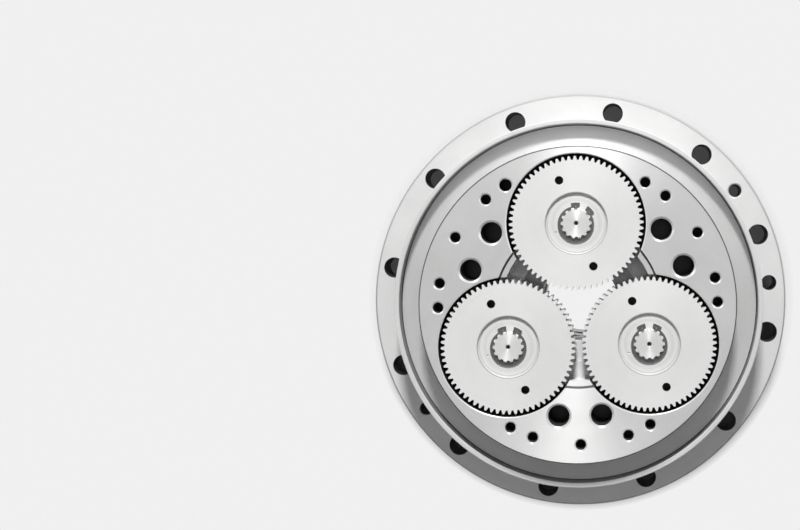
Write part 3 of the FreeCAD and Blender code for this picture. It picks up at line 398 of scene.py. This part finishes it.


# the threads' dark grey is painted shade, as on the painted-dark walls of the holes
thread_steel = Finish("thread_steel", 0.6, 0.36)
thread_tone = thread_steel.noise(900) * 0.6 + thread_steel.noise(120) * 0.4
thread_steel.feed("Base Color", thread_steel.blend(thread_tone, (0.05, 0.05, 0.052), (0.13, 0.13, 0.13)))
thread_steel.feed("Roughness", 0.28 + thread_steel.noise(1500) * 0.16)
thread_steel.bump(thread_steel.noise(2200), 3e-6)
jack_places = round_circle(flange_circle, (jack_turn, jack_turn + 180))
jack_threads = tapped_thread(
    "jack_screw_threads", jack_places, wall=4.24, crest=3.85, pitch=1.5, low=36.6, high=57
)
jack_threads.data.materials.append(thread_steel.material)
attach(jack_threads, "case_body")

# ---- The ring pins
# Forty bearing steel pins, hardened, ground and lapped. They lie loose in half round grooves in the case, and
# the discs' lobes roll against them.
pin_steel = turned_steel("pin_steel", (0.72, 0.72, 0.73), (0.60, 0.60, 0.61), roughness=0.2, metallic=1.0)
wear(pin_steel, "ring_pins")

# ---- The main bearings
# Two thin angular contact bearings, by which the case carries the output shaft and the hold flange. Their
# rings are ground, with polished tracks, their balls are bright, and their cages are of dark moulded resin.
race_steel = turned_steel("race_steel", (0.70, 0.71, 0.72), (0.56, 0.57, 0.58), roughness=0.24, metallic=0.95)
ball_steel = Finish("ball_steel", 1.0, 0.12)
ball_steel.feed("Base Color", ball_steel.blend(ball_steel.noise(300), (0.70, 0.70, 0.72), (0.78, 0.78, 0.79)))
ball_steel.feed("Roughness", 0.08 + ball_steel.noise(900) * 0.1)


def moulded(name, light, dark, roughness=0.5):
    """Moulded plastic or rubber: a fine pebbled skin with a slight sheen."""
    finish = Finish(name, 0.0, roughness)
    cloud = finish.noise(60)
    grain = finish.noise(3000, 2)
    finish.feed("Base Color", finish.blend(cloud, dark, light))
    finish.feed("Roughness", roughness - 0.08 + grain * 0.16)
    finish.bump(grain, 8e-6)
    return finish


cage_resin = moulded("cage_resin", (0.060, 0.055, 0.050), (0.030, 0.028, 0.026))
for level in ("lower", "upper"):
    wear(race_steel, f"main_bearing_{level}_inner_ring", f"main_bearing_{level}_outer_ring")
    wear(ball_steel, f"main_bearing_{level}_balls")
    wear(cage_resin, f"main_bearing_{level}_cage")

# ---- The oil seal
# A steel ring covered in black nitrile rubber, pressed into the case. Its thin lip runs on the output's neck
# and keeps the grease in.
seal_rubber = moulded("seal_rubber", (0.035, 0.035, 0.036), (0.018, 0.018, 0.019), 0.45)
wear(seal_rubber, "oil_seal")

# ---- The output shaft
# A forging turned and then milled: the face has the three gear pockets, and tapped holes for the driven arm.
# Three groups of holes lie about the three posts, and one small hole is a reamed dowel hole. The walls of
# the holes, the wells round the gears, the face's rim and the centre pocket's ledge and floor carry painted
# shade.
third = 120
post_turns = (30, 30 + third, 30 + 2 * third)
m8_circle, m8_steps = 90, (-30, -20, 0, 20, 30)
m16_circle, m16_steps = 72.5, (-10.95, 10.95)
dowel_turn = 120
crank_circle = 52.5
small_holes = [HoleRing(m8_circle, post_turns[0] + step, third, radius=3.4, low=85, high=103)
               for step in m8_steps]
large_holes = [HoleRing(m16_circle, post_turns[0] + step, third, radius=7, low=79, high=102.4)
               for step in m16_steps]
dowel_place = HoleRing(m8_circle, dowel_turn, step=360, radius=4, low=85, high=103.2)
# painted shade in the wells round the gears, apart from the open middle
gear_wells = HoleRing(crank_circle, first=90, step=third, radius=45, low=85, high=103.2)
# rings of painted shade: the face's rim, the centre pocket's ledge and its floor
face_edge = EdgeMark(inner=101.7, outer=102.7, low=102.9, high=105, darkness=0.9)
centre_ledge = EdgeMark(inner=52.6, outer=54.1, low=101.5, high=103.95, darkness=0.85)
centre_floor = EdgeMark(inner=26, outer=49.3, low=79, high=87, darkness=0.35)
output_steel = turned_steel(
    "output_steel",
    light=(0.89, 0.89, 0.885),
    dark=(0.78, 0.78, 0.775),
    roughness=0.48,
    metallic=0.46,
    holes=(*small_holes, *large_holes, dowel_place, gear_wells),
    marks=(face_edge, centre_ledge, centre_floor),
    open_middle=54,
)
wear(output_steel, "output_shaft")

# ---- The output face's threads
# Fourteen M8 and six M16 threads for the driven arm, tapped after milling, and coloured dark grey as
# painted shade in the holes.
# The fifteenth small hole is the dowel hole and has none.
m8_turns = [post + step for post in post_turns for step in m8_steps if post + step != dowel_turn]
m16_turns = [post + step for post in post_turns for step in m16_steps]
m8_places = round_circle(m8_circle, m8_turns)
m16_places = round_circle(m16_circle, m16_turns)
m8_threads = tapped_thread(
    "m8_threads", m8_places, wall=3.39, crest=3.05, pitch=1.25, low=86.6, high=103
)
m16_threads = tapped_thread(
    "m16_threads", m16_places, wall=6.94, crest=6.6, pitch=2, low=80.6, high=102.4, steps=32
)
for threads in (m8_threads, m16_threads):
    threads.data.materials.append(thread_steel.material)
    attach(threads, "carrier")

# ---- The hold flange
# The motor side half of the carrier, turned and ground flat and bright. Counterbores take the heads of the
# clamp bolts, which pull it against the output shaft's posts.
hold_steel = turned_steel("hold_steel", (0.82, 0.82, 0.81), (0.72, 0.72, 0.71))
wear(hold_steel, "hold_flange")


# ---- The clamp bolts and the taper pins
# Six high grade socket head screws clamp the hold flange to the posts, and three hardened taper pins fix its
# place. Both are made with a black oxide skin.
def blacked(name, light, dark, roughness):
    """Steel with an oxide or phosphate skin: dark and a little cloudy, with a thin oily sheen."""
    finish = Finish(name, 0.7, roughness)
    cloud = finish.noise(140)
    grain = finish.noise(2400, 2)
    finish.feed("Base Color", finish.blend(cloud * 0.7 + grain * 0.3, dark, light))
    finish.feed("Roughness", roughness - 0.06 + grain * 0.14)
    finish.bump(grain, 3e-6)
    return finish


black_oxide = blacked("black_oxide", (0.060, 0.060, 0.064), (0.026, 0.026, 0.029), 0.34)
wear(black_oxide, "clamp_bolts", "taper_pins")

# ---- The cycloid discs
# Two equal discs of bearing steel, hardened, with ground faces and ground lobes. They sit on the eccentrics
# half a turn apart, and the posts pass through their windows.
disc_steel = turned_steel("disc_steel", (0.62, 0.62, 0.62), (0.50, 0.50, 0.50), roughness=0.3, metallic=0.95)
wear(disc_steel, "cycloid_disc_lower", "cycloid_disc_upper")

# ---- The snap rings and circlips
# Spring steel stampings with a dark phosphate skin and sheared edges. The snap rings hold the crank bearings
# in the hold flange, and the circlips hold the gears on the splines.
spring_skin = blacked("spring_skin", (0.26, 0.26, 0.26), (0.14, 0.14, 0.14), 0.42)
wear(spring_skin, "snap_rings", *(f"gear_circlips_{index}" for index in (1, 2, 3)))

# ---- The crankshafts with their gears and bearings
# Each crankshaft is turned and ground from one bar. Its gear is hobbed, hardened and face ground, and it
# sits on the splines between two circlips. Rollers in dark steel or resin cages carry the shaft and the
# discs.
cup_steel = turned_steel("cup_steel", (0.72, 0.72, 0.73), (0.58, 0.58, 0.59), roughness=0.26, metallic=0.95)
wear(cup_steel, "crank_outer_rings_lower", "crank_outer_rings_upper")
cage_steel = blacked("cage_steel", (0.30, 0.29, 0.27), (0.18, 0.17, 0.16), 0.38)
# rings of painted shade: the crank's centre hole, the gear's puller holes and the wall and rim of its recess;
# the hub ring is a faint darker ring on the gear's face
centre_hole = EdgeMark(inner=-1, outer=1.45, low=90, high=120, darkness=0.8)
puller_holes = HoleRing(circle=29.8, first=110.6, step=180, radius=2.75, low=92, high=102.4)
hub_ring = EdgeMark(inner=14.2, outer=16.4, low=99, high=101, darkness=0.08)
recess_wall = EdgeMark(inner=18.4, outer=20.1, low=100.4, high=101.9, darkness=0.2)
recess_rim = EdgeMark(inner=19.95, outer=20.4, low=101.7, high=103, darkness=0.45)
for index, (x, y) in enumerate(round_circle(crank_circle, (90, 210, 330)), 1):
    crank_steel = turned_steel(
        f"crank_steel_{index}",
        light=(0.93, 0.93, 0.92),
        dark=(0.80, 0.80, 0.79),
        axis=(x * MM, y * MM),
        roughness=0.42,
        metallic=0.30,
        ring_width=0.25,
        marks=(centre_hole,),
    )
    gear_steel = turned_steel(
        f"gear_steel_{index}",
        light=(0.92, 0.92, 0.91),
        dark=(0.85, 0.85, 0.84),
        axis=(x * MM, y * MM),
        roughness=0.46,
        metallic=0.18,
        streak=0.4,
        holes=(puller_holes,),
        marks=(hub_ring, recess_wall, recess_rim),
        painted_shade=(0.045, 0.045, 0.046),
    )
    wear(crank_steel, f"crankshaft_{index}")
    wear(gear_steel, f"spur_gear_{index}")
    wear(cup_steel, f"crank_inner_rings_{index}")
    wear(cage_steel, f"taper_cages_{index}")
    wear(cage_resin, f"needle_cage_lower_{index}", f"needle_cage_upper_{index}")
    wear(ball_steel, f"taper_rollers_{index}")
    wear(ball_steel, f"needle_rollers_lower_{index}", f"needle_rollers_upper_{index}")
